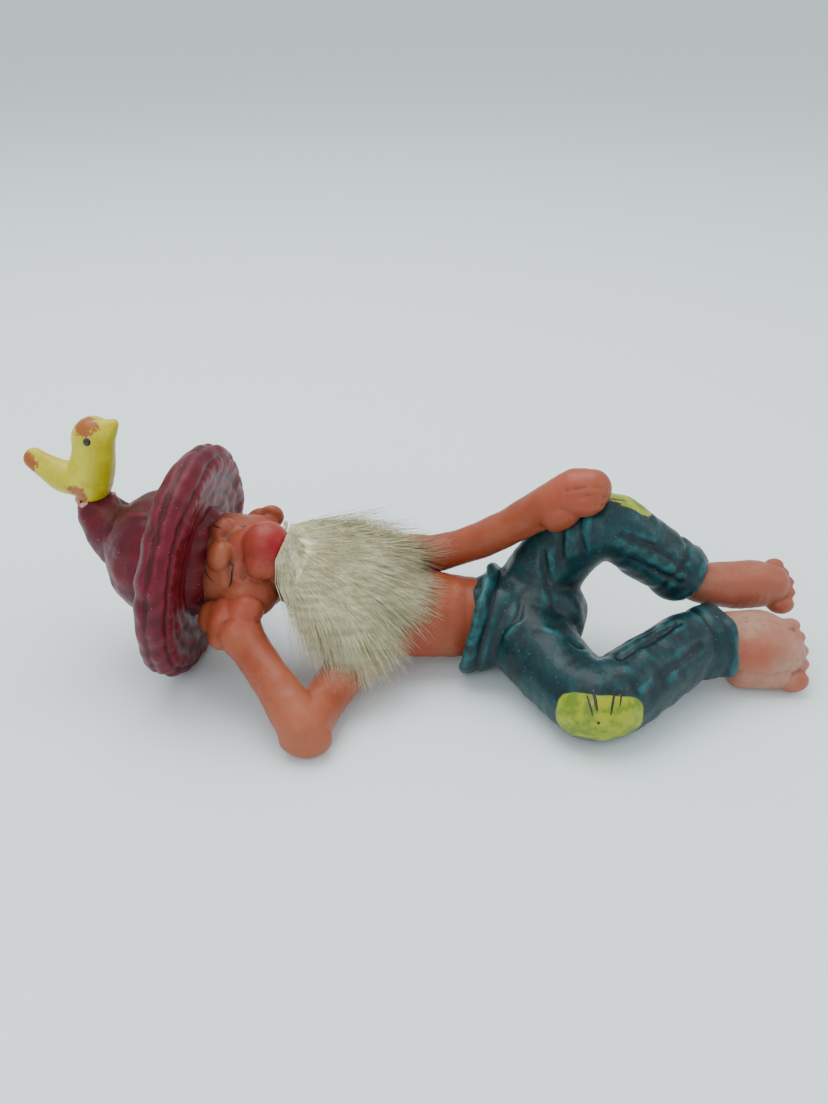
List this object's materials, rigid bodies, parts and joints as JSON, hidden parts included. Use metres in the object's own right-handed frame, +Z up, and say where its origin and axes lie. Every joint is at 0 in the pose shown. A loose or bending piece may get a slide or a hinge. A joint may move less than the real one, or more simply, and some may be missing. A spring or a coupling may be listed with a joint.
{
  "type": "garden gnome",
  "caption": "Reclining garden gnome in moulded vinyl, leaning on one elbow, with rolled-up trousers, a thick-brimmed hat with a bird on its tip and a real fur beard.",
  "frame": {"origin": "on the ground under the middle of the figure", "axes": "+X from the hat to the feet, +Z up, -Y towards the side that the face and knees are turned to"},
  "size_m": [0.2775, 0.1049, 0.0884],
  "materials": {
    "flesh_vinyl": "satin",
    "foot_vinyl": "satin",
    "teal_vinyl": "satin",
    "maroon_vinyl": "satin",
    "yellow_vinyl": "satin",
    "dried_glue": "matte",
    "hide": "matte",
    "fur": "matte"
  },
  "bodies": {
    "figure": {"torso": "flesh_vinyl", "head": "flesh_vinyl", "right_arm": "flesh_vinyl", "left_arm": "flesh_vinyl", "trousers": "teal_vinyl", "right_foot": "foot_vinyl", "left_foot": "flesh_vinyl", "hat_brim": "maroon_vinyl", "hat_cone": "maroon_vinyl", "bird": "yellow_vinyl", "bird_glue": "dried_glue", "beard_glue": "dried_glue"},
    "beard": {"beard_hide": "hide", "beard_hair": "fur"}
  },
  "joints": [
    {"name": "beard_lift", "type": "hinge", "parent": "figure", "child": "beard", "pos_m": [-0.0462, 0.003, 0.0499], "axis": [-0.3195, -0.8099, -0.4919], "range_deg": [0, 20]}
  ]
}
